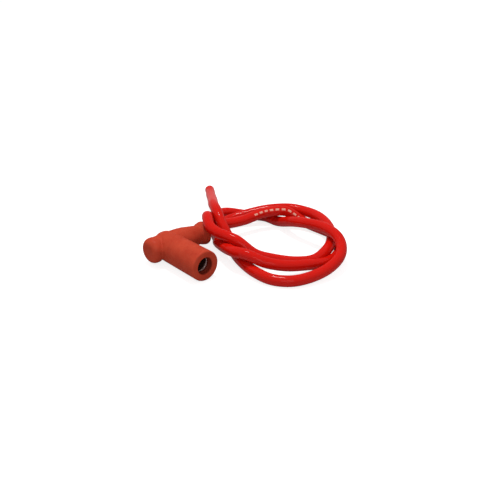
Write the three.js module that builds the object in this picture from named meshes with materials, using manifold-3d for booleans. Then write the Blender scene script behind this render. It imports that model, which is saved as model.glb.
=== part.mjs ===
// Spark plug cap with its ignition lead.
//
// A moulded silicone cap in the form of a T: the plug tube lies along Y with its mouth at -Y, and
// crossing it is the arm axis along X, with a closed stub at -X and a tapered arm at +X that ends in
// a flared collar. The lead leaves the collar, runs three loose turns on the ground and ends cut off.
// Units are millimetres, +Z is up. The origin is under the middle of the cap, on the ground.
import * as THREE from 'three';
import { mergeVertices } from 'three/addons/utils/BufferGeometryUtils.js';
import Module from 'manifold-3d';

const wasm = await Module();
wasm.setup();

// Cap moulding, measured from the point where the tube axis meets the arm axis
const TUBE_RADIUS = 9.75;
const MOUTH_DISTANCE = 39;
const BACK_DISTANCE = 9;
const BACK_RADIUS = 9.2;
const BACK_ROUNDING = 8.5;
const RIM_ROUNDING = 1;
const STUB_RADIUS = 8;
const STUB_DISTANCE = 14;
const STUB_ROUNDING = 3.2;
const STUB_WAIST_RADIUS = 7.5;
const STUB_WAIST_LENGTH = 3;
const ARM_ROOT_RADIUS = 7.7;
const ARM_ROOT_LENGTH = 10;
const ARM_NECK_RADIUS = 5.9;
const COLLAR_DISTANCE = 30;
const COLLAR_RADIUS = 7.1;
const COLLAR_LENGTH = 3;
const COLLAR_FLARE = 1.6;
const COLLAR_ROUNDING = 0.7;
const LEAD_IN_WIDTH = 1;
const LEAD_IN_LENGTH = 3;

// Clearance between pieces that touch or fit in one another
const FIT = 0.3;

// Plug bore and its sealing rib
const PLUG_BORE_RADIUS = 5.2;
const MOUTH_CHAMFER = 0.8;
const RIB_DEPTH = 4;
const RIB_WIDTH = 0.8;
const RIB_HEIGHT = 0.45;

// Rigid sleeve inside the plug bore
const SLEEVE_START = 5.7;
const SLEEVE_LENGTH = 23;
const SLEEVE_WALL = 1.4;
const SLEEVE_END_WALL = 1.2;

// Terminal socket, snap ring and contact spring
const SOCKET_WALL = 1.3;
const SOCKET_BORE_RADIUS = 3.3;
const SOCKET_LENGTH = 9;
const SOCKET_FLOOR = 2;
const SOCKET_CHAMFER = 0.5;
const RING_WIRE_RADIUS = 0.35;
const RING_FROM_FRONT = 3.6;
const SPRING_RADIUS = 2;
const SPRING_WIRE_RADIUS = 0.35;
const SPRING_TURNS = 5;
const SPRING_SEAT_DEPTH = 1.3;

// Elbow contact, resistor and lead screw along the arm axis
const ELBOW_RADIUS = 3.5;
const ELBOW_BACK = 4.5;
const ELBOW_FRONT = 3.3;
const RESISTOR_RADIUS = 2.6;
const RESISTOR_LENGTH = 8.2;
const END_CAP_WALL = 0.4;
const END_CAP_FLOOR = 1;
const END_CAP_OVERLAP = 2;
const SCREW_HEAD_THICKNESS = 1.4;
const SCREW_HEAD_RADIUS = 3.2;
const SPIKE_RADIUS = 1;
const SPIKE_LENGTH = 8;
const SPIKE_TIP = 1.4;

// Ignition lead: silicone jacket over a stranded core
const LEAD_RADIUS = 3.5;
const CORE_RADIUS = 1;
const LEAD_SIDES = 10;
const CORE_SIDES = 8;
const LEAD_STEPS = 80;

// Route of the lead's centre line, from the collar to the cut end, in part coordinates
const LEAD_ROUTE = [
  [32, 16, 11.5], [43, 14, 10.5], [55, 12.5, 10], [70, 9.5, 12], [81, 2.5, 12.5],
  [84, 0, 11.5], [90, -9.5, 5.5], [93, -33, 3.6], [90.5, -41, 3.6], [78.5, -53, 3.6],
  [69, -58.5, 3.7], [59, -60, 3.7], [46, -57.5, 5.5], [32.5, -51.5, 7], [22.5, -43, 9.5],
  [16.5, -33, 13], [14.5, -22.5, 12], [24, 3, 6], [30, 11, 3.6], [36, 21.5, 4.5],
  [41, 25.5, 5], [53.5, 27.5, 5.5], [69, 20, 9], [79, 13, 11], [90.5, 4.5, 11],
  [95.5, -6.5, 10.5], [93.5, -20, 11.5], [88, -33.5, 11], [80, -44.5, 9], [70, -51, 7],
  [56.5, -52.5, 3.8], [45.5, -47.5, 3.8], [34.5, -37, 5.5], [27.5, -28.5, 8],
  [21.5, -18, 15.5], [17.5, -4, 17.5], [17.5, 3, 19], [24.5, 14.5, 20.5], [34.5, 26.5, 12],
  [48, 35, 8.5], [58.5, 36, 7], [70.5, 30, 3.8], [78.5, 18.5, 3.9], [79.5, 6, 4.1],
  [75.5, -14.5, 11.5], [75.5, -27.5, 14.5], [76, -41.5, 16], [74, -54, 15],
  [71, -60.5, 12.5], [64, -66.5, 9.5], [52.5, -69.5, 6.5], [38.5, -68.5, 4.5],
  [25.5, -63.5, 3.7], [18, -54, 3.7], [16, -41.5, 4.5], [18.5, -28, 4.6], [25, -12.5, 3.7],
  [30, -2, 7], [31.5, 8.5, 15], [35, 17.5, 20], [42.5, 30.5, 19], [49, 39, 16],
  [57, 49.5, 12.5], [65, 60.5, 9], [72.5, 71, 6], [78.5, 79, 4.2], [82.5, 85, 3.6],
];

// Worked out from the sizes above
const LEAD_BORE_RADIUS = LEAD_RADIUS + FIT;
const MOUTH_Y = -MOUTH_DISTANCE;
const SLEEVE_FRONT_Y = MOUTH_Y + SLEEVE_START;
const SLEEVE_BACK_Y = SLEEVE_FRONT_Y + SLEEVE_LENGTH;
const SLEEVE_OUTER_RADIUS = PLUG_BORE_RADIUS + SLEEVE_WALL;
const SOCKET_RADIUS = SOCKET_BORE_RADIUS + SOCKET_WALL;
const SOCKET_BACK_Y = SLEEVE_BACK_Y - SLEEVE_END_WALL - FIT;
const SOCKET_FRONT_Y = SOCKET_BACK_Y - SOCKET_LENGTH;
const RING_Y = SOCKET_FRONT_Y + RING_FROM_FRONT;
const RING_RADIUS = SOCKET_RADIUS - RING_WIRE_RADIUS;
const SPRING_OUTER_RADIUS = SPRING_RADIUS + SPRING_WIRE_RADIUS;
const SPRING_HOLE_RADIUS = SPRING_OUTER_RADIUS + 2 * FIT;
const SPRING_SEAT_Y = -ELBOW_RADIUS + SPRING_SEAT_DEPTH;
const END_CAP_RADIUS = RESISTOR_RADIUS + FIT + END_CAP_WALL;
const INNER_CAP_X = ELBOW_FRONT + FIT;
const RESISTOR_X = INNER_CAP_X + END_CAP_FLOOR + FIT;
const OUTER_CAP_X = RESISTOR_X + RESISTOR_LENGTH + FIT + END_CAP_FLOOR;
const SCREW_X = OUTER_CAP_X + FIT;
const SPIKE_X = SCREW_X + SCREW_HEAD_THICKNESS;
const LEAD_START_X = SPIKE_X + FIT;
const CORE_START_X = SPIKE_X + SPIKE_LENGTH + FIT;
const ORIGIN_X = (STUB_DISTANCE - COLLAR_DISTANCE) / 2;
const ORIGIN_Y = (MOUTH_DISTANCE - BACK_DISTANCE) / 2;

// Closed solids and their joins

function toManifold(geometry) {
  geometry.deleteAttribute('normal');
  geometry.deleteAttribute('uv');
  const merged = mergeVertices(geometry, 1e-4);
  const index = merged.index.array;
  const triangles = [];
  for (let i = 0; i < index.length; i += 3) {
    const [a, b, c] = [index[i], index[i + 1], index[i + 2]];
    if (a !== b && b !== c && c !== a) triangles.push(a, b, c);
  }
  return new wasm.Manifold(new wasm.Mesh({
    numProp: 3,
    vertProperties: new Float32Array(merged.attributes.position.array),
    triVerts: new Uint32Array(triangles),
  }));
}

function toGeometry(solid) {
  const { vertProperties, triVerts } = solid.getMesh();
  const geometry = new THREE.BufferGeometry();
  geometry.setAttribute('position', new THREE.BufferAttribute(vertProperties, 3));
  geometry.setIndex(new THREE.BufferAttribute(triVerts, 1));
  geometry.computeVertexNormals();
  return geometry;
}

// A turned form: outline points are [radius, place along the axis]
function turned(outline, segments = 48) {
  const points = outline.map(([radius, along]) => new THREE.Vector2(radius, along));
  return toManifold(new THREE.LatheGeometry(points, segments));
}

function turnedAlongX(outline, segments = 48) {
  const points = outline.map(([radius, along]) => new THREE.Vector2(radius, along));
  return toManifold(new THREE.LatheGeometry(points, segments).rotateZ(-Math.PI / 2));
}

// Quarter round between two outline points, turning about a centre
function quarter(centreRadius, centreAlong, rounding, fromAngle, toAngle, steps = 5) {
  const points = [];
  for (let i = 0; i <= steps; i += 1) {
    const angle = fromAngle + ((toAngle - fromAngle) * i) / steps;
    points.push([centreRadius + rounding * Math.cos(angle), centreAlong + rounding * Math.sin(angle)]);
  }
  return points;
}

function material(color, roughness, metalness) {
  return new THREE.MeshStandardMaterial({ color, roughness, metalness });
}

const SILICONE = () => material(0xb23a2c, 0.6, 0);
const PHENOLIC = () => material(0x2a1512, 0.45, 0);
const BRASS = () => material(0xb48a3c, 0.35, 1);
const STEEL = () => material(0xb8bcc0, 0.3, 1);
const CERAMIC = () => material(0xe8e2d4, 0.5, 0);
const JACKET = () => material(0xcc1e16, 0.3, 0);
const COPPER = () => material(0xb87333, 0.35, 1);

function node(name, solid, finish) {
  const mesh = new THREE.Mesh(toGeometry(solid), finish);
  mesh.name = name;
  return mesh;
}

// The moulded cap

function plugTube() {
  return turned([
    [0, MOUTH_Y],
    ...quarter(TUBE_RADIUS - RIM_ROUNDING, MOUTH_Y + RIM_ROUNDING, RIM_ROUNDING, -Math.PI / 2, 0),
    ...quarter(BACK_RADIUS - BACK_ROUNDING, BACK_DISTANCE - BACK_ROUNDING, BACK_ROUNDING, 0, Math.PI / 2, 10),
    [0, BACK_DISTANCE],
  ], 64);
}

function stub() {
  return turnedAlongX([
    [0, -STUB_DISTANCE],
    ...quarter(STUB_RADIUS - STUB_ROUNDING, -STUB_DISTANCE + STUB_ROUNDING, STUB_ROUNDING,
      -Math.PI / 2, 0, 6),
    [STUB_WAIST_RADIUS, -STUB_DISTANCE + STUB_ROUNDING + STUB_WAIST_LENGTH],
    [STUB_WAIST_RADIUS, 0],
    [0, 0],
  ], 64);
}

function arm() {
  const flareStart = COLLAR_DISTANCE - COLLAR_LENGTH - COLLAR_FLARE;
  return turnedAlongX([
    [0, 0],
    [ARM_ROOT_RADIUS, 0],
    [ARM_ROOT_RADIUS, ARM_ROOT_LENGTH],
    [ARM_NECK_RADIUS, flareStart],
    [COLLAR_RADIUS, COLLAR_DISTANCE - COLLAR_LENGTH],
    ...quarter(COLLAR_RADIUS - COLLAR_ROUNDING, COLLAR_DISTANCE - COLLAR_ROUNDING, COLLAR_ROUNDING,
      0, Math.PI / 2, 3),
    [0, COLLAR_DISTANCE],
  ], 64);
}

function plugBore() {
  const outside = 1;
  const ribY = MOUTH_Y + RIB_DEPTH;
  return turned([
    [0, MOUTH_Y - outside],
    [PLUG_BORE_RADIUS + MOUTH_CHAMFER + outside, MOUTH_Y - outside],
    [PLUG_BORE_RADIUS, MOUTH_Y + MOUTH_CHAMFER],
    [PLUG_BORE_RADIUS, ribY - RIB_WIDTH],
    [PLUG_BORE_RADIUS - RIB_HEIGHT, ribY - RIB_WIDTH / 2],
    [PLUG_BORE_RADIUS - RIB_HEIGHT, ribY + RIB_WIDTH / 2],
    [PLUG_BORE_RADIUS, SLEEVE_FRONT_Y - FIT],
    [SLEEVE_OUTER_RADIUS + FIT, SLEEVE_FRONT_Y - FIT],
    [SLEEVE_OUTER_RADIUS + FIT, SLEEVE_BACK_Y + FIT],
    [SPRING_HOLE_RADIUS, SLEEVE_BACK_Y + FIT],
    [SPRING_HOLE_RADIUS, 0],
    [0, 0],
  ]);
}

function armBore() {
  const outside = 1;
  return turnedAlongX([
    [0, -ELBOW_BACK - FIT],
    [LEAD_BORE_RADIUS, -ELBOW_BACK - FIT],
    [LEAD_BORE_RADIUS, COLLAR_DISTANCE - LEAD_IN_LENGTH],
    [LEAD_BORE_RADIUS + LEAD_IN_WIDTH, COLLAR_DISTANCE],
    [LEAD_BORE_RADIUS + LEAD_IN_WIDTH, COLLAR_DISTANCE + outside],
    [0, COLLAR_DISTANCE + outside],
  ], 32);
}

function capBody() {
  const outside = plugTube().add(stub()).add(arm());
  return node('cap_body', outside.subtract(plugBore()).subtract(armBore()), SILICONE());
}

// What the plug bore holds

function plugSleeve() {
  const innerBack = SOCKET_RADIUS + FIT;
  return node('plug_sleeve', turned([
    [PLUG_BORE_RADIUS, SLEEVE_FRONT_Y],
    [SLEEVE_OUTER_RADIUS, SLEEVE_FRONT_Y],
    [SLEEVE_OUTER_RADIUS, SLEEVE_BACK_Y],
    [SPRING_HOLE_RADIUS, SLEEVE_BACK_Y],
    [SPRING_HOLE_RADIUS, SLEEVE_BACK_Y - SLEEVE_END_WALL],
    [innerBack, SLEEVE_BACK_Y - SLEEVE_END_WALL],
    [innerBack, SOCKET_FRONT_Y - FIT],
    [PLUG_BORE_RADIUS, SOCKET_FRONT_Y - 2 * FIT],
    [PLUG_BORE_RADIUS, SLEEVE_FRONT_Y],
  ]), PHENOLIC());
}

function terminalSocket() {
  const grooveHalf = RING_WIRE_RADIUS + FIT;
  const grooveRadius = RING_RADIUS - grooveHalf;
  return node('terminal_socket', turned([
    [SOCKET_BORE_RADIUS + SOCKET_CHAMFER, SOCKET_FRONT_Y],
    [SOCKET_RADIUS, SOCKET_FRONT_Y],
    [SOCKET_RADIUS, RING_Y - grooveHalf],
    [grooveRadius, RING_Y - grooveHalf],
    [grooveRadius, RING_Y + grooveHalf],
    [SOCKET_RADIUS, RING_Y + grooveHalf],
    [SOCKET_RADIUS, SOCKET_BACK_Y],
    [0, SOCKET_BACK_Y],
    [0, SOCKET_BACK_Y - SOCKET_FLOOR],
    [SOCKET_BORE_RADIUS, SOCKET_BACK_Y - SOCKET_FLOOR],
    [SOCKET_BORE_RADIUS, SOCKET_FRONT_Y + SOCKET_CHAMFER],
    [SOCKET_BORE_RADIUS + SOCKET_CHAMFER, SOCKET_FRONT_Y],
  ], 32), BRASS());
}

function snapRing() {
  const ring = new THREE.TorusGeometry(RING_RADIUS, RING_WIRE_RADIUS, 8, 32);
  ring.rotateX(Math.PI / 2).translate(0, RING_Y, 0);
  return node('snap_ring', toManifold(ring), STEEL());
}

// A helix about the Y axis
class Helix extends THREE.Curve {
  constructor(radius, start, rise, turns) {
    super();
    Object.assign(this, { radius, start, rise, turns });
  }

  getPoint(t, target = new THREE.Vector3()) {
    const angle = 2 * Math.PI * this.turns * t;
    return target.set(this.radius * Math.cos(angle), this.start + this.rise * t,
      this.radius * Math.sin(angle));
  }
}

function circle(radius, sides) {
  const points = [];
  for (let i = 0; i < sides; i += 1) {
    const angle = (2 * Math.PI * i) / sides;
    points.push(new THREE.Vector2(radius * Math.cos(angle), radius * Math.sin(angle)));
  }
  return points;
}

function contactSpring() {
  const start = SOCKET_BACK_Y + FIT + SPRING_WIRE_RADIUS;
  const end = SPRING_SEAT_Y - FIT - SPRING_WIRE_RADIUS;
  const wire = new THREE.ExtrudeGeometry(new THREE.Shape(circle(SPRING_WIRE_RADIUS, 6)), {
    extrudePath: new Helix(SPRING_RADIUS, start, end - start, SPRING_TURNS),
    steps: 16 * SPRING_TURNS,
    bevelEnabled: false,
  });
  return node('contact_spring', toManifold(wire), STEEL());
}

// What the arm bore holds

function elbowContact() {
  const block = turnedAlongX([
    [0, -ELBOW_BACK],
    [ELBOW_RADIUS, -ELBOW_BACK],
    [ELBOW_RADIUS, ELBOW_FRONT],
    [0, ELBOW_FRONT],
  ], 32);
  const seat = turned([
    [0, -2 * ELBOW_RADIUS],
    [SPRING_OUTER_RADIUS + FIT, -2 * ELBOW_RADIUS],
    [SPRING_OUTER_RADIUS + FIT, SPRING_SEAT_Y],
    [0, SPRING_SEAT_Y],
  ], 24);
  return node('elbow_contact', block.subtract(seat), BRASS());
}

function resistorRod() {
  return node('resistor_rod', turnedAlongX([
    [0, RESISTOR_X],
    [RESISTOR_RADIUS, RESISTOR_X],
    [RESISTOR_RADIUS, RESISTOR_X + RESISTOR_LENGTH],
    [0, RESISTOR_X + RESISTOR_LENGTH],
  ], 24), CERAMIC());
}

// A cup with its floor at floorX, open towards side (1 is +X, -1 is -X)
function endCap(name, floorX, side) {
  const inner = RESISTOR_RADIUS + FIT;
  const outline = [
    [0, floorX],
    [END_CAP_RADIUS, floorX],
    [END_CAP_RADIUS, floorX + side * (END_CAP_FLOOR + FIT + END_CAP_OVERLAP)],
    [inner, floorX + side * (END_CAP_FLOOR + FIT + END_CAP_OVERLAP)],
    [inner, floorX + side * END_CAP_FLOOR],
    [0, floorX + side * END_CAP_FLOOR],
  ];
  if (side < 0) outline.reverse();
  return node(name, turnedAlongX(outline, 24), BRASS());
}

function leadScrew() {
  return node('lead_screw', turnedAlongX([
    [0, SCREW_X],
    [SCREW_HEAD_RADIUS, SCREW_X],
    [SCREW_HEAD_RADIUS, SPIKE_X],
    [SPIKE_RADIUS, SPIKE_X],
    [SPIKE_RADIUS, SPIKE_X + SPIKE_LENGTH - SPIKE_TIP],
    [0, SPIKE_X + SPIKE_LENGTH],
  ], 24), BRASS());
}

// The lead: a straight stretch in the arm bore, then the route on the ground

function sweepLead(shape) {
  const axisPoint = (x) => new THREE.Vector3(x + ORIGIN_X, ORIGIN_Y, TUBE_RADIUS);
  const inBore = [axisPoint(LEAD_START_X), axisPoint(COLLAR_DISTANCE)];
  const outside = LEAD_ROUTE.map(([x, y, z]) => new THREE.Vector3(x, y, z));
  return toManifold(new THREE.ExtrudeGeometry(shape, {
    extrudePath: new THREE.CatmullRomCurve3([...inBore, ...outside], false, 'centripetal'),
    steps: LEAD_STEPS,
    bevelEnabled: false,
  }));
}

function leadJacket() {
  const section = new THREE.Shape(circle(LEAD_RADIUS, LEAD_SIDES));
  section.holes.push(new THREE.Path(circle(CORE_RADIUS + FIT, CORE_SIDES).reverse()));
  return node('lead_jacket', sweepLead(section), JACKET());
}

// The core starts beyond the spike's tip, which stands in the jacket's hole
function leadCore() {
  const spikeRoom = turnedAlongX([
    [0, LEAD_START_X - FIT],
    [CORE_RADIUS + FIT, LEAD_START_X - FIT],
    [CORE_RADIUS + FIT, CORE_START_X],
    [0, CORE_START_X],
  ], 16).translate(ORIGIN_X, ORIGIN_Y, TUBE_RADIUS);
  const core = sweepLead(new THREE.Shape(circle(CORE_RADIUS, CORE_SIDES)));
  return node('lead_core', core.subtract(spikeRoom), COPPER());
}

// The assembly

const cap = new THREE.Group();
cap.position.set(ORIGIN_X, ORIGIN_Y, TUBE_RADIUS);
cap.add(
  capBody(),
  plugSleeve(),
  terminalSocket(),
  snapRing(),
  contactSpring(),
  elbowContact(),
  resistorRod(),
  endCap('resistor_cap_inner', INNER_CAP_X, 1),
  endCap('resistor_cap_outer', OUTER_CAP_X, -1),
  leadScrew(),
);

const group = new THREE.Group();
group.add(cap, leadJacket(), leadCore());

export default group;
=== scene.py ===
# %% [markdown]
# # Spark plug cap with its ignition lead
# The real object is a T-shaped silicone moulding that pushes onto a spark plug, and a thick red
# ignition lead that comes out of its arm and lies beside it in loose turns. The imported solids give
# every piece its size and place. This lesson dresses them: it models the moulding, what is seen in
# its bore and the lead anew, with soft edges, and gives every piece a finish made of nodes.

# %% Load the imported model
from math import cos, pi, radians, sin, tau

import bmesh
import bpy
from mathutils import Matrix, Vector


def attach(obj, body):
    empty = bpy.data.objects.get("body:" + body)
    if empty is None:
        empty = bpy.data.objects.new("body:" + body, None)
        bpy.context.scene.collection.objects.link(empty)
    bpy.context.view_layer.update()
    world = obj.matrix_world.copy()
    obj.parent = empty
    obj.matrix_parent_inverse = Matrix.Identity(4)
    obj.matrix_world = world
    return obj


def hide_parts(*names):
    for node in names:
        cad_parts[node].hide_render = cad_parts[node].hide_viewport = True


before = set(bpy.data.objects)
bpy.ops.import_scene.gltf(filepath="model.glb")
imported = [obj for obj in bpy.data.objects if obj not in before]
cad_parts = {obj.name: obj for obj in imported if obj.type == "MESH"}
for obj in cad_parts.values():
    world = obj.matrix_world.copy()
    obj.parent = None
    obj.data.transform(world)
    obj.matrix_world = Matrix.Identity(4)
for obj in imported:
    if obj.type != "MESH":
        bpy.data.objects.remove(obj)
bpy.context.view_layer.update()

MM = 0.001
BODY = "root"

# %% [markdown]
# ## Camera
# The photograph looks down at the mouth of the plug tube from its left front corner. The camera
# could be placed by eye, but a distance and two angles round one aim point are easier to read and
# to correct, so its place is worked out from those.

# %% Camera
PHOTO_PIXELS = 500
FOCAL_PIXELS = 766.85
SENSOR_WIDTH = 36
CAMERA_AIM = Vector((26.4, -25.1, 10)) * MM
CAMERA_AZIMUTH = radians(-41.53)
CAMERA_ELEVATION = radians(25.79)
CAMERA_DISTANCE = 477.6 * MM

back = Vector((sin(CAMERA_AZIMUTH) * cos(CAMERA_ELEVATION),
               -cos(CAMERA_AZIMUTH) * cos(CAMERA_ELEVATION), sin(CAMERA_ELEVATION)))
camera = bpy.data.objects.new("camera", bpy.data.cameras.new("camera"))
camera.data.sensor_width = SENSOR_WIDTH
camera.data.lens = FOCAL_PIXELS / PHOTO_PIXELS * SENSOR_WIDTH
camera.data.clip_start, camera.data.clip_end = 0.01, 20
camera.location = CAMERA_AIM + back * CAMERA_DISTANCE
camera.rotation_euler = (-back).to_track_quat("-Z", "Y").to_euler()
bpy.context.collection.objects.link(camera)
bpy.context.scene.camera = camera
print("lens", round(camera.data.lens, 2), "camera at", camera.location)

# %% [markdown]
# ## The route of the lead
# A lead lies where its stiffness lets it, in wide curves that pass over each other in long humps.
# Its centre line is given as points a few diameters apart, the same ones as the solids follow. A
# Catmull-Rom spline goes through every point, so the route stays where the points are. It starts
# in the arm's bore and ends at the cut end.

# %% Points of the route
TUBE_RADIUS = 9.75
JOINT = Vector((-8, 15, TUBE_RADIUS)) * MM
LEAD_RADIUS = 3.5 * MM
LEAD_START_X = 8.4
COLLAR_END_X = 22
LEAD_POINTS = [
    (LEAD_START_X, 15, 9.75), (COLLAR_END_X, 15, 9.75),
    (32, 16, 11.5), (43, 14, 10.5), (55, 12.5, 10), (70, 9.5, 12), (81, 2.5, 12.5),
    (84, 0, 11.5), (90, -9.5, 5.5), (93, -33, 3.6), (90.5, -41, 3.6), (78.5, -53, 3.6),
    (69, -58.5, 3.7), (59, -60, 3.7), (46, -57.5, 5.5), (32.5, -51.5, 7), (22.5, -43, 9.5),
    (16.5, -33, 13), (14.5, -22.5, 12), (24, 3, 6), (30, 11, 3.6), (36, 21.5, 4.5),
    (41, 25.5, 5), (53.5, 27.5, 5.5), (69, 20, 9), (79, 13, 11), (90.5, 4.5, 11),
    (95.5, -6.5, 10.5), (93.5, -20, 11.5), (88, -33.5, 11), (80, -44.5, 9), (70, -51, 7),
    (56.5, -52.5, 3.8), (45.5, -47.5, 3.8), (34.5, -37, 5.5), (27.5, -28.5, 8),
    (21.5, -18, 15.5), (17.5, -4, 17.5), (17.5, 3, 19), (24.5, 14.5, 20.5), (34.5, 26.5, 12),
    (48, 35, 8.5), (58.5, 36, 7), (70.5, 30, 3.8), (78.5, 18.5, 3.9), (79.5, 6, 4.1),
    (75.5, -14.5, 11.5), (75.5, -27.5, 14.5), (76, -41.5, 16), (74, -54, 15),
    (71, -60.5, 12.5), (64, -66.5, 9.5), (52.5, -69.5, 6.5), (38.5, -68.5, 4.5),
    (25.5, -63.5, 3.7), (18, -54, 3.7), (16, -41.5, 4.5), (18.5, -28, 4.6), (25, -12.5, 3.7),
    (30, -2, 7), (31.5, 8.5, 15), (35, 17.5, 20), (42.5, 30.5, 19), (49, 39, 16),
    (57, 49.5, 12.5), (65, 60.5, 9), (72.5, 71, 6), (78.5, 79, 4.2), (82.5, 85, 3.6),
]


# %% A smooth line through the points
def spline_through(points, parts=24):
    """Centripetal Catmull-Rom: the knots are as far apart as the root of the distance."""
    first, last = 2 * points[0] - points[1], 2 * points[-1] - points[-2]
    row = [first, *points, last]
    line = []
    for p0, p1, p2, p3 in zip(row, row[1:], row[2:], row[3:]):
        d0, d1, d2 = ((b - a).length ** 0.5 for a, b in ((p0, p1), (p1, p2), (p2, p3)))
        leave = ((p1 - p0) / d0 - (p2 - p0) / (d0 + d1)) * d1 + (p2 - p1)
        arrive = (p2 - p1) + ((p3 - p2) / d2 - (p3 - p1) / (d1 + d2)) * d1
        for step in range(parts):
            t = step / parts
            line.append(p1 + leave * t + (3 * (p2 - p1) - 2 * leave - arrive) * t ** 2
                        + (2 * (p1 - p2) + leave + arrive) * t ** 3)
    return [*line, points[-1]]


def evenly_spaced(line, spacing):
    """The same line again, with points an equal distance apart."""
    lengths = [(b - a).length for a, b in zip(line, line[1:])]
    count = round(sum(lengths) / spacing)
    step = sum(lengths) / count
    out, walked, target = [line[0]], 0.0, step
    for start, end, length in zip(line, line[1:], lengths):
        while walked + length >= target and len(out) < count:
            out.append(start.lerp(end, (target - walked) / length))
            target += step
        walked += length
    return [*out, line[-1]], step


LEAD_SPACING = 2.0 * MM
route = spline_through([Vector(p) * MM for p in LEAD_POINTS])
lead_path, lead_step = evenly_spaced(route, LEAD_SPACING)
for point in lead_path:
    point.z = max(point.z, LEAD_RADIUS)
lead_length = lead_step * (len(lead_path) - 1)
print("lead path:", len(lead_path), "points,", round(lead_length, 4), "m")

# %% [markdown]
# ## Helpers for finishes
# Every finish starts from one Principled shader. Noise in the object's own coordinates, which are
# metres, drives colour, roughness and bump, so its scale is the real size of the grain. A value
# that is the same all over is set on the shader's own socket.


# %% Nodes for the finishes
def new_finish(name, **constants):
    """A material with its Principled shader, whose sockets are set by name."""
    finish = bpy.data.materials.new(name)
    finish.use_nodes = True
    shader = finish.node_tree.nodes["Principled BSDF"]
    for socket, value in constants.items():
        shader.inputs[socket.replace("_", " ")].default_value = value
    return finish, finish.node_tree, shader


def node(tree, kind, links=(), **settings):
    """A node with its settings, and its sockets given as values or as other nodes' outputs."""
    made = tree.nodes.new(kind)
    for key, value in settings.items():
        setattr(made, key, value)
    for socket, value in dict(links).items():
        if isinstance(value, bpy.types.NodeSocket):
            tree.links.new(value, made.inputs[socket])
        else:
            made.inputs[socket].default_value = value
    return made


def object_place(tree, stretch=(1, 1, 1)):
    """Object coordinates in metres, stretched where a grain is longer one way."""
    place = node(tree, "ShaderNodeTexCoord").outputs["Object"]
    return node(tree, "ShaderNodeMapping", {"Vector": place, "Scale": stretch}).outputs[0]


def noise(tree, place, size, detail=2, rough=0.5):
    """Noise whose grains are about size metres across."""
    return node(tree, "ShaderNodeTexNoise", {
        "Vector": place, "Scale": 1 / size, "Detail": detail, "Roughness": rough}).outputs[0]


def ramp(tree, value, low, high, to_low=0.0, to_high=1.0):
    """A value's range from low to high, mapped to another range and held inside it."""
    return node(tree, "ShaderNodeMapRange", {
        "Value": value, "From Min": low, "From Max": high,
        "To Min": to_low, "To Max": to_high}, clamp=True).outputs[0]


def maths(tree, operation, first, second=0.0):
    made = node(tree, "ShaderNodeMath", {0: first, 1: second}, operation=operation)
    return made.outputs[0]


def blend(tree, amount, first, second):
    """Two colours, mixed by an amount."""
    mixed = node(tree, "ShaderNodeMix", {
        "Factor": amount, 6: first, 7: second}, data_type="RGBA")
    return mixed.outputs[2]


def bump(tree, height, depth, normal=None):
    """Relief of a height from 0 to 1, depth metres deep."""
    links = {"Height": height, "Distance": depth, "Strength": 1.0}
    if normal:
        links["Normal"] = normal
    return node(tree, "ShaderNodeBump", links).outputs[0]


def connect(tree, shader, **outputs):
    for socket, output in outputs.items():
        tree.links.new(output, shader.inputs[socket.replace("_", " ")])


# %% [markdown]
# ## The lead's glossy silicone
# Extruded silicone is smooth and bright, with fine drag lines along its length, slow waves from
# handling and a little dust in them. The drag lines follow the lead, so they are noise on a UV map
# of its own, whose V is metres along the lead and whose U goes once round it. The shine comes from
# a thin coat alone: it mirrors the lamp, but stays weak where the lead is seen at a slant, so the
# edges keep their deep red. A row of plain pale dashes stands where such a lead carries its marking.

# %% Finish of the jacket
LEAD_UV = "along_the_lead"
DASH_START, DASH_END = 54 * MM, 92 * MM
DASH_PITCH, DASH_SHARE = 4.1 * MM, 0.6
DASH_SIDE = 0.86
DASH_HALF_WIDTH = 0.032
LEAD_ROUND = tau * LEAD_RADIUS
DRAG_STRETCH = 0.06

jacket_red, tree, shader = new_finish(
    "jacket_red", Specular_IOR_Level=0.0, Coat_Weight=0.16, Coat_Roughness=0.11)
lead_uv = node(tree, "ShaderNodeUVMap", uv_map=LEAD_UV).outputs[0]
metres = node(tree, "ShaderNodeMapping", {
    "Vector": lead_uv, "Scale": (LEAD_ROUND, DRAG_STRETCH, 1)}).outputs[0]
drag_lines = noise(tree, metres, 0.5 * MM, 3)
place = object_place(tree)
slow_waves = noise(tree, place, 14 * MM, 2)
dust = noise(tree, place, 0.8 * MM, 4, 0.7)
around, along, _ = node(tree, "ShaderNodeSeparateXYZ", {0: lead_uv}).outputs
from_start = maths(tree, "SUBTRACT", along, DASH_START)
in_pitch = maths(tree, "FRACT", maths(tree, "DIVIDE", from_start, DASH_PITCH))
dashes = maths(tree, "LESS_THAN", in_pitch, DASH_SHARE)
for limit in (maths(tree, "GREATER_THAN", along, DASH_START),
              maths(tree, "LESS_THAN", along, DASH_END),
              maths(tree, "LESS_THAN", maths(tree, "ABSOLUTE", maths(
                  tree, "SUBTRACT", around, DASH_SIDE)), DASH_HALF_WIDTH),
              ramp(tree, dust, 0.3, 0.42)):
    dashes = maths(tree, "MULTIPLY", dashes, limit)
red = blend(tree, slow_waves, (0.52, 0.005, 0.002, 1), (0.63, 0.010, 0.005, 1))
red = blend(tree, ramp(tree, dust, 0.62, 0.8, 0, 0.08), red, (0.58, 0.07, 0.05, 1))
connect(tree, shader,
        Base_Color=blend(tree, dashes, red, (0.72, 0.34, 0.26, 1)),
        Roughness=ramp(tree, drag_lines, 0.3, 0.7, 0.20, 0.32),
        Normal=bump(tree, drag_lines, 0.02 * MM, bump(tree, slow_waves, 0.5 * MM)))
print("finish:", jacket_red.name)

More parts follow.
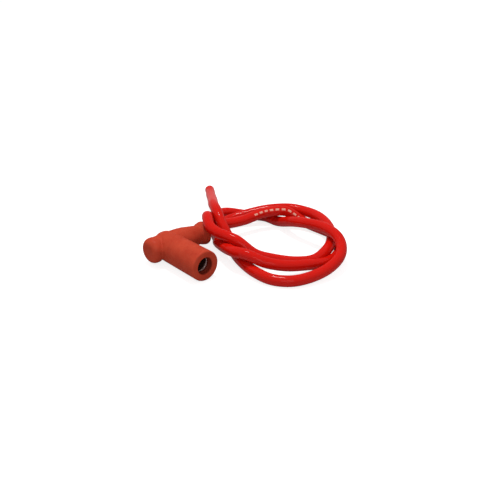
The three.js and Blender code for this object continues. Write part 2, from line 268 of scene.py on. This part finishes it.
# %% [markdown]
# ## Building the lead
# A lead could be a curve with a bevel, but its cut end needs an open bore, so it is swept: two
# circles, the outside and the bore, are stood up at the start of the route and extruded ring by
# ring, each new ring turned and moved to the next place. Turning each ring by the vertical keeps
# the sweep from twisting. Each end is closed by filling between the two circles.


# %% Helpers for pieces
def upright_section(path, i):
    """Where a flat section stands on the path: X to its side, Y up, Z backwards."""
    ahead = (path[min(i + 1, len(path) - 1)] - path[max(i - 1, 0)]).normalized()
    side = ahead.cross(Vector((0, 0, 1))).normalized()
    turn = Matrix((side, side.cross(ahead), -ahead)).transposed().to_4x4()
    return Matrix.Translation(path[i]) @ turn


def finish_piece(bm, name, finish, replaces, flat_angle=radians(35)):
    """Turns a bmesh into a piece that rides on the body and stands for a solid."""
    mesh = bpy.data.meshes.new(name)
    for face in bm.faces:
        face.smooth = True
    for edge in bm.edges:
        edge.smooth = len(edge.link_faces) != 2 or edge.calc_face_angle() < flat_angle
    bm.to_mesh(mesh)
    mesh.materials.append(finish)
    piece = bpy.data.objects.new(name, mesh)
    bpy.context.collection.objects.link(piece)
    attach(piece, BODY)
    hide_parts(replaces)
    wrong = sum(not edge.is_manifold for edge in bm.edges)
    print(name, len(bm.faces), "faces, open edges:", wrong,
          "volume mm3:", round(bm.calc_volume(signed=True) / MM ** 3, 1))
    bm.free()
    return piece


# %% Sweep the jacket
JACKET_SIDES, BORE_SIDES = 28, 12
JACKET_BORE = 1.3 * MM
EDGE_SOFTNESS = 0.35 * MM
bm = bmesh.new()
turn_of = bm.verts.layers.float.new("turn")
along_of = bm.verts.layers.float.new("along")
rings = []
for sides, radius in ((JACKET_SIDES, LEAD_RADIUS), (BORE_SIDES, JACKET_BORE)):
    ring = bmesh.ops.create_circle(bm, segments=sides, radius=radius)["verts"]
    for number, vert in enumerate(ring):
        vert[turn_of] = number / sides
    bmesh.ops.transform(bm, matrix=upright_section(lead_path, 0), verts=ring)
    rings.append([edge for edge in bm.edges if edge.verts[0] in ring])
start_edges = rings[0] + rings[1]
for number in range(1, len(lead_path)):
    move = upright_section(lead_path, number) @ upright_section(lead_path, number - 1).inverted()
    for which, ring in enumerate(rings):
        grown = bmesh.ops.extrude_edge_only(bm, edges=ring)["geom"]
        verts = [item for item in grown if isinstance(item, bmesh.types.BMVert)]
        for vert in verts:
            vert[along_of] = number * lead_step
        bmesh.ops.transform(bm, matrix=move, verts=verts)
        rings[which] = [item for item in grown if isinstance(item, bmesh.types.BMEdge)
                        and all(vert in verts for vert in item.verts)]
print("rings:", len(lead_path), "faces:", len(bm.faces))

# %% Close the ends, soften the cut end, and write the map
for edges in (start_edges, rings[0] + rings[1]):
    bmesh.ops.triangle_fill(bm, edges=edges, use_beauty=True)
bmesh.ops.bevel(bm, geom=rings[0], offset=EDGE_SOFTNESS, segments=3, profile=0.5,
                affect="EDGES", material=-1)
bmesh.ops.recalc_face_normals(bm, faces=bm.faces[:])
uv_layer = bm.loops.layers.uv.new(LEAD_UV)
for face in bm.faces:
    wraps = max(v[turn_of] for v in face.verts) > 0.5 + min(v[turn_of] for v in face.verts)
    for loop in face.loops:
        turn = loop.vert[turn_of]
        loop[uv_layer].uv = (turn + (wraps and turn < 0.5), loop.vert[along_of])
lead = finish_piece(bm, "ignition_lead", jacket_red, "lead_jacket")

# %% [markdown]
# ## The lead's core
# The conductor is seven copper strands laid round each other. One strand is a small circle beside
# the route, swept as the jacket was, but turning steadily, so that each outer strand winds round
# the middle one. It shows only in the cut end, and runs as far as the spike in the cap.

# %% Finish of the copper
copper, tree, shader = new_finish("drawn_copper", Metallic=1.0)
fine = noise(tree, object_place(tree), 0.15 * MM, 3)
tarnish = noise(tree, object_place(tree), 1.1 * MM, 2)
connect(tree, shader,
        Base_Color=blend(tree, tarnish, (0.93, 0.42, 0.22, 1), (0.60, 0.24, 0.12, 1)),
        Roughness=ramp(tree, fine, 0.3, 0.7, 0.25, 0.45),
        Normal=bump(tree, fine, 0.01 * MM))
print("finish:", copper.name)

# %% Wind the strands
STRAND_RADIUS = 0.33 * MM
STRAND_TURN = 26 * MM
STRAND_SIDES = 6
OUTER_STRANDS = 6
CORE_START = 9.2 * MM
CORE_RECESS = 0.3 * MM
core_path = [p for number, p in enumerate(lead_path[:-1]) if number * lead_step >= CORE_START]
core_path.append(lead_path[-1].lerp(lead_path[-2], CORE_RECESS / lead_step))
bm = bmesh.new()
for strand in range(OUTER_STRANDS + 1):
    aside = 0 if strand == OUTER_STRANDS else 2 * STRAND_RADIUS
    ring = bmesh.ops.create_circle(bm, cap_ends=True, segments=STRAND_SIDES,
                                   radius=STRAND_RADIUS)["verts"]
    bmesh.ops.translate(bm, vec=(aside, 0, 0), verts=ring)
    place_round = strand / OUTER_STRANDS
    spot = upright_section(core_path, 0) @ Matrix.Rotation(tau * place_round, 4, "Z")
    bmesh.ops.transform(bm, matrix=spot, verts=ring)
    edges = [edge for edge in bm.edges if edge.verts[0] in ring]
    for number in range(1, len(core_path)):
        angle = tau * (place_round + number * lead_step / STRAND_TURN)
        new_spot = upright_section(core_path, number) @ Matrix.Rotation(angle, 4, "Z")
        grown = bmesh.ops.extrude_edge_only(bm, edges=edges)["geom"]
        verts = [item for item in grown if isinstance(item, bmesh.types.BMVert)]
        bmesh.ops.transform(bm, matrix=new_spot @ spot.inverted(), verts=verts)
        edges = [item for item in grown if isinstance(item, bmesh.types.BMEdge)
                 and all(vert in verts for vert in item.verts)]
        spot = new_spot
    bmesh.ops.contextual_create(bm, geom=edges)
bmesh.ops.recalc_face_normals(bm, faces=bm.faces[:])
core = finish_piece(bm, "core_strands", copper, "lead_core", radians(60))

# %% [markdown]
# ## The cap's silicone
# Moulded silicone is satin: a fine grain left by the mould, faint cloudiness in the pigment and a
# pale mottle of dust. Where the two halves of the mould met, a thin line runs round the cap at half
# its height. It is too fine to model, so it is relief. The wall of the plug bore is painted darker,
# as painted shade for the inside of the hole, and the finish finds it by its distance from the
# tube's axis.

# %% Finish of the moulding
PARTING_HALF_WIDTH = 0.11 * MM
BORE_SHADE_FULL, BORE_SHADE_NONE = 5.15 * MM, 5.7 * MM
BORE_SHADE_FADES, BORE_SHADE_ENDS = 0, 5 * MM
moulded_silicone, tree, shader = new_finish(
    "moulded_silicone", Specular_IOR_Level=0.0, Coat_Weight=0.08, Coat_Roughness=0.4)
place = object_place(tree)
cloud = noise(tree, place, 7 * MM, 3)
mottle = noise(tree, place, 1.3 * MM, 4, 0.6)
grain = noise(tree, place, 0.28 * MM, 3, 0.6)
object_point = node(tree, "ShaderNodeTexCoord").outputs["Object"]
_, depth, height = node(tree, "ShaderNodeSeparateXYZ", {0: object_point}).outputs
from_middle = maths(tree, "ABSOLUTE", maths(tree, "SUBTRACT", height, JOINT.z))
parting = ramp(tree, from_middle, 0, PARTING_HALF_WIDTH, 1, 0)
brick = blend(tree, ramp(tree, cloud, 0.3, 0.7),
              (0.42, 0.038, 0.018, 1), (0.50, 0.056, 0.026, 1))
brick = blend(tree, ramp(tree, mottle, 0.45, 0.75, 0, 0.35), brick, (0.46, 0.080, 0.042, 1))
across = node(tree, "ShaderNodeVectorMath", {
    0: object_point, 1: JOINT}, operation="SUBTRACT").outputs[0]
across = node(tree, "ShaderNodeVectorMath", {
    0: across, 1: (1, 0, 1)}, operation="MULTIPLY").outputs[0]
from_axis = node(tree, "ShaderNodeVectorMath", {0: across}, operation="LENGTH").outputs["Value"]
# Painted shade: the wall of the plug bore is darkened towards a near-black red, standing in for the
# shade inside the hole.
painted_bore_shade = maths(tree, "MULTIPLY", ramp(tree, from_axis, BORE_SHADE_FULL, BORE_SHADE_NONE, 0.75, 0),
                ramp(tree, depth, BORE_SHADE_FADES, BORE_SHADE_ENDS, 1, 0))
brick = blend(tree, painted_bore_shade, brick, (0.05, 0.006, 0.004, 1))
connect(tree, shader,
        Base_Color=brick,
        Roughness=ramp(tree, mottle, 0.3, 0.7, 0.48, 0.64),
        Normal=bump(tree, grain, 0.035 * MM, bump(tree, cloud, 0.15 * MM, bump(
            tree, parting, 0.05 * MM))))
print("finish:", moulded_silicone.name)

# %% [markdown]
# ## Turned shapes
# The tube, stub, arm and bores are round, so each is a short outline spun about its axis. The
# outline is a few corners, and each corner has a rounding of its own, made by bevelling that
# vertex before the spin. It is drawn along X and then laid along the tube or the arm. An outline
# edge that lies on the axis leaves a loose edge behind, which is deleted.


# %% A shape turned from an outline
def turned(outline, along="X", steps=96):
    """Outline corners are (place along the axis, radius, rounding), in millimetres."""
    bm = bmesh.new()
    verts = [bm.verts.new((place * MM, radius * MM, 0)) for place, radius, _ in outline]
    closed = outline[0][1] > 0
    for a, b in zip(verts, verts[1:] + verts[:1] if closed else verts[1:]):
        bm.edges.new((a, b))
    for vert, (_, _, rounding) in zip(verts, outline):
        if rounding:
            bmesh.ops.bevel(bm, geom=[vert], offset=rounding * MM, offset_type="OFFSET",
                            segments=8, profile=0.5, affect="VERTICES", material=-1)
    bmesh.ops.spin(bm, geom=bm.verts[:] + bm.edges[:], cent=(0, 0, 0), axis=(1, 0, 0),
                   angle=tau, steps=steps, use_merge=True)
    bmesh.ops.remove_doubles(bm, verts=bm.verts[:], dist=0.0005 * MM)
    bmesh.ops.delete(bm, geom=[edge for edge in bm.edges if not edge.link_faces], context="EDGES")
    bmesh.ops.recalc_face_normals(bm, faces=bm.faces[:])
    if along == "Y":
        bmesh.ops.rotate(bm, cent=(0, 0, 0), matrix=Matrix.Rotation(pi / 2, 3, "Z"),
                         verts=bm.verts[:])
    bmesh.ops.translate(bm, vec=JOINT, verts=bm.verts[:])
    return bm


def scratch_object(bm, name):
    mesh = bpy.data.meshes.new(name)
    bm.to_mesh(mesh)
    bm.free()
    made = bpy.data.objects.new(name, mesh)
    bpy.context.collection.objects.link(made)
    return made


def modified_mesh(made):
    """The object's mesh with its modifiers applied, in a new bmesh. The object is deleted."""
    bm = bmesh.new()
    bm.from_object(made, bpy.context.evaluated_depsgraph_get())
    bpy.data.objects.remove(made)
    return bm


# %% [markdown]
# ## The moulding
# On the real cap the stub and the arm grow out of the tube in one soft piece. A boolean would leave
# a knife-sharp crease where they meet, so the turned shapes are joined by a voxel remesh,
# which melts them into one skin, and a little smoothing gives the creases and edges the radius that
# a mould has. The stub is a bulb on a thinner neck, and the neck sits a little high, so the crease
# between stub and tube is deep below and fades at the top. The bores are cut afterwards by a
# boolean, because their rims must stay crisp.

# %% Outside of the moulding
MOUTH, BACK = -39, 9
STUB_END, ARM_END = -14.8, 30
VOXEL = 0.34 * MM
STUB_RADIUS, NECK_RADIUS, ARM_RADIUS, COLLAR_RADIUS = 8.2, 7.6, 8.4, 7.7
CENTRED = Vector((0, 0, 0))
NECK_SHIFT = Vector((0, 0.3, 0.35)) * MM

outside = bmesh.new()
for outline, along, shift in (
        ([(MOUTH, 0, 0), (MOUTH, TUBE_RADIUS, 1.1), (BACK, 9.2, 8.5), (BACK, 0, 0)], "Y", CENTRED),
        ([(STUB_END, 0, 0), (STUB_END, STUB_RADIUS, 4), (-8.5, STUB_RADIUS, 0.6),
          (-8.5, 0, 0)], "X", CENTRED),
        ([(-10, 0, 0), (-10, NECK_RADIUS, 0), (0, NECK_RADIUS, 0), (0, 0, 0)], "X", NECK_SHIFT),
        ([(0, 0, 0), (0, ARM_RADIUS, 0), (11.5, ARM_RADIUS, 3), (24.8, 6.2, 0.6),
          (26.2, 7.3, 0.4), (27.4, 7.3, 0.3), (28, COLLAR_RADIUS, 0.4),
          (ARM_END, COLLAR_RADIUS, 0.7), (ARM_END, 0, 0)], "X", CENTRED)):
    part = turned(outline, along)
    bmesh.ops.translate(part, vec=shift, verts=part.verts[:])
    mesh = bpy.data.meshes.new("turned_part")
    part.to_mesh(mesh)
    part.free()
    outside.from_mesh(mesh)
    bpy.data.meshes.remove(mesh)
skin = scratch_object(outside, "skin")
melt = skin.modifiers.new("melt", "REMESH")
melt.mode, melt.voxel_size = "VOXEL", VOXEL
soften = skin.modifiers.new("soften", "SMOOTH")
soften.factor, soften.iterations = 0.5, 6
print("outside:", len(skin.data.polygons), "faces before the melt")

# %% Bores of the moulding
PLUG_BORE, LEAD_BORE = 5.2, 3.8
RIB_BORE, SLEEVE_SEAT, SPRING_BORE = 4.75, 6.9, 2.95
plug_bore = scratch_object(turned([
    (MOUTH - 2, 0, 0), (MOUTH - 2, 7.4, 0), (MOUTH - 0.6, 6.6, 0), (MOUTH, 5.95, 0),
    (MOUTH + 0.9, PLUG_BORE, 0.6), (MOUTH + 3.2, PLUG_BORE, 0), (MOUTH + 3.6, RIB_BORE, 0.15),
    (MOUTH + 4.4, RIB_BORE, 0.15), (MOUTH + 4.8, PLUG_BORE, 0), (MOUTH + 5.4, PLUG_BORE, 0),
    (MOUTH + 5.4, SLEEVE_SEAT, 0), (-10, SLEEVE_SEAT, 0), (-10, SPRING_BORE, 0),
    (0, SPRING_BORE, 0), (0, 0, 0)], "Y"), "plug_bore")
arm_bore = scratch_object(turned([
    (-4.8, 0, 0), (-4.8, LEAD_BORE, 0), (ARM_END - 3, LEAD_BORE, 0.5), (ARM_END - 0.3, 4.7, 0.3),
    (ARM_END, 5.1, 0), (ARM_END + 1, 6, 0), (ARM_END + 1, 0, 0)], "X"), "arm_bore")
for cutter in (plug_bore, arm_bore):
    cut = skin.modifiers.new("cut", "BOOLEAN")
    cut.operation, cut.solver, cut.object = "DIFFERENCE", "EXACT", cutter
finish_piece(modified_mesh(skin), "moulded_cap", moulded_silicone, "cap_body",
             radians(50))
for cutter in (plug_bore, arm_bore):
    bpy.data.objects.remove(cutter)

# %% [markdown]
# ## Inside the plug bore
# A hard dark sleeve lines the bore, and its rounded lip carries a pale band that is a painted
# highlight.
# Behind it is the brass socket that snaps onto the plug's terminal, with a groove for the ring
# that grips it. Both are turned on the real cap too, so each is one closed outline spun about the
# tube's axis.

# %% Finish of the sleeve
SLEEVE_FRONT, SLEEVE_BACK = MOUTH + 5.7, -10.3
LIP_GLINT_FULL, LIP_GLINT_END = SLEEVE_FRONT + 0.5, SLEEVE_FRONT + 0.9
phenolic, tree, shader = new_finish("dark_phenolic", Specular_IOR_Level=0.6)
_, depth, _ = node(tree, "ShaderNodeSeparateXYZ", {
    0: node(tree, "ShaderNodeTexCoord").outputs["Object"]}).outputs
# Painted highlight: a pale band just inside the sleeve's front lip stands in for the glint of light
# on it.
painted_lip_glint = ramp(tree, depth, JOINT.y + LIP_GLINT_FULL * MM, JOINT.y + LIP_GLINT_END * MM, 1, 0)
swirl = noise(tree, object_place(tree, (1, 0.3, 1)), 0.9 * MM, 4, 0.6)
dark = blend(tree, swirl, (0.030, 0.010, 0.008, 1), (0.055, 0.018, 0.013, 1))
connect(tree, shader,
        Base_Color=blend(tree, painted_lip_glint, dark, (0.55, 0.34, 0.32, 1)),
        Roughness=ramp(tree, swirl, 0.3, 0.7, 0.18, 0.32),
        Normal=bump(tree, swirl, 0.02 * MM))
print("finish:", phenolic.name)

# %% Turn the sleeve
SLEEVE_FLOOR = SLEEVE_BACK - 1.2
SOCKET_BACK = SLEEVE_BACK - 1.5
SOCKET_FRONT = SOCKET_BACK - 9
sleeve = turned([
    (SLEEVE_FRONT, PLUG_BORE, 0.35), (SLEEVE_FRONT, 6.6, 0.3), (SLEEVE_BACK, 6.6, 0.3),
    (SLEEVE_BACK, SPRING_BORE, 0.2), (SLEEVE_FLOOR, SPRING_BORE, 0.2), (SLEEVE_FLOOR, 4.9, 0),
    (SOCKET_FRONT - 0.3, 4.9, 0), (SOCKET_FRONT - 0.6, PLUG_BORE, 0)], "Y", 72)
finish_piece(sleeve, "bore_sleeve", phenolic, "plug_sleeve")

# %% Finish of the brass
brass, tree, shader = new_finish("turned_brass", Metallic=1.0)
lathe_marks = noise(tree, object_place(tree, (9, 9, 1)), 1.5 * MM, 2)
spots = noise(tree, object_place(tree), 1.6 * MM, 3, 0.6)
connect(tree, shader,
        Base_Color=blend(tree, spots, (0.78, 0.52, 0.20, 1), (0.62, 0.38, 0.13, 1)),
        Roughness=ramp(tree, spots, 0.3, 0.7, 0.22, 0.38),
        Normal=bump(tree, lathe_marks, 0.008 * MM))
print("finish:", brass.name)

# %% Turn the socket
SOCKET_RADIUS = 4.6
GROOVE_START, GROOVE_END = SOCKET_FRONT + 2.95, SOCKET_FRONT + 4.25
socket = turned([
    (SOCKET_FRONT, 3.8, 0), (SOCKET_FRONT, SOCKET_RADIUS, 0.3), (GROOVE_START, SOCKET_RADIUS, 0.1),
    (GROOVE_START, 3.6, 0), (GROOVE_END, 3.6, 0), (GROOVE_END, SOCKET_RADIUS, 0.1),
    (SOCKET_BACK, SOCKET_RADIUS, 0.3), (SOCKET_BACK, 0, 0), (SOCKET_BACK - 2, 0, 0),
    (SOCKET_BACK - 2, 3.3, 0.3), (SOCKET_FRONT + 0.5, 3.3, 0.2)], "Y", 64)
finish_piece(socket, "snap_socket", brass, "terminal_socket")

# %% [markdown]
# ## Finishes of the hidden pieces
# The spring, the ring, the resistor and the contacts never show while the cap is whole, and their
# solids already have the right shape. They keep them and only get their finishes.

# %% Finishes of steel and ceramic
steel, tree, shader = new_finish("drawn_steel", Metallic=1.0)
drawn = noise(tree, object_place(tree), 0.3 * MM, 3)
connect(tree, shader,
        Base_Color=blend(tree, drawn, (0.62, 0.63, 0.65, 1), (0.48, 0.49, 0.51, 1)),
        Roughness=ramp(tree, drawn, 0.3, 0.7, 0.2, 0.36),
        Normal=bump(tree, drawn, 0.01 * MM))
ceramic, tree, shader = new_finish("fired_ceramic", Specular_IOR_Level=0.5)
speckle = noise(tree, object_place(tree), 0.5 * MM, 4, 0.7)
connect(tree, shader,
        Base_Color=blend(tree, ramp(tree, speckle, 0.4, 0.7), (0.80, 0.77, 0.70, 1),
                         (0.68, 0.63, 0.54, 1)),
        Roughness=ramp(tree, speckle, 0.3, 0.7, 0.5, 0.7),
        Normal=bump(tree, speckle, 0.03 * MM))
finishes = {
    "snap_ring": steel, "contact_spring": steel, "elbow_contact": brass,
    "resistor_rod": ceramic, "resistor_cap_inner": brass, "resistor_cap_outer": brass,
    "lead_screw": brass,
}
for name, finish in finishes.items():
    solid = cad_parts[name]
    solid.data.materials.clear()
    solid.data.materials.append(finish)
print("finished solids:", ", ".join(finishes))

# %% [markdown]
# ## Floor, background and light
# The photograph has a pure white ground with a faint grey shadow under the object. The floor is
# grey, and to the camera and to reflections it adds a glow that brings its lit parts up to white,
# so the shadow stays. The world does the same for what lies behind the floor. One small lamp
# overhead gives the highlights, a broad one lights the side that faces the viewer, and the pale
# world fills the shade.

# %% Floor and world
FLOOR_SIZE = 6
FLOOR_GLOW = 0.81
FLOOR_GREY = 0.43
AMBIENT = 0.46
WHITE = (1, 1, 1, 1)


def seen_directly(tree):
    """1 for rays from the camera, from reflections and through glass, and 0 for light."""
    rays = node(tree, "ShaderNodeLightPath").outputs
    either = maths(tree, "MAXIMUM", rays["Is Camera Ray"], rays["Is Glossy Ray"])
    return maths(tree, "MAXIMUM", either, rays["Is Transmission Ray"])


bm = bmesh.new()
bmesh.ops.create_grid(bm, x_segments=1, y_segments=1, size=FLOOR_SIZE / 2)
floor = scratch_object(bm, "floor")
paper, tree, shader = new_finish("white_paper", Roughness=0.9, Specular_IOR_Level=0.0)
shader.inputs["Base Color"].default_value = (FLOOR_GREY, FLOOR_GREY, FLOOR_GREY, 1)
shader.inputs["Emission Color"].default_value = WHITE
connect(tree, shader, Emission_Strength=maths(tree, "MULTIPLY", seen_directly(tree), FLOOR_GLOW))
floor.data.materials.append(paper)

world = bpy.data.worlds.new("studio")
world.use_nodes = True
tree = world.node_tree
background = tree.nodes["Background"]
tree.links.new(ramp(tree, seen_directly(tree), 0, 1, AMBIENT, 1.0), background.inputs["Strength"])
background.inputs["Color"].default_value = WHITE
bpy.context.scene.world = world
print("floor and world:", floor.name, world.name)


# %% Lamps
def soft_lamp(name, place, aim, size, watts):
    lamp = bpy.data.objects.new(name, bpy.data.lights.new(name, "AREA"))
    lamp.data.shape, lamp.data.size, lamp.data.energy = "SQUARE", size, watts
    lamp.location = place
    lamp.rotation_euler = (Vector(aim) - Vector(place)).to_track_quat("-Z", "Y").to_euler()
    bpy.context.collection.objects.link(lamp)
    print("lamp:", name, watts, "W")


soft_lamp("key", (0.04, 0.11, 0.74), (0.04, -0.02, 0), 0.13, 3.7)
soft_lamp("fill", (-0.50, -0.62, 0.50), (0.04, 0, 0), 0.45, 1.8)
bpy.context.scene.view_settings.view_transform = "Standard"
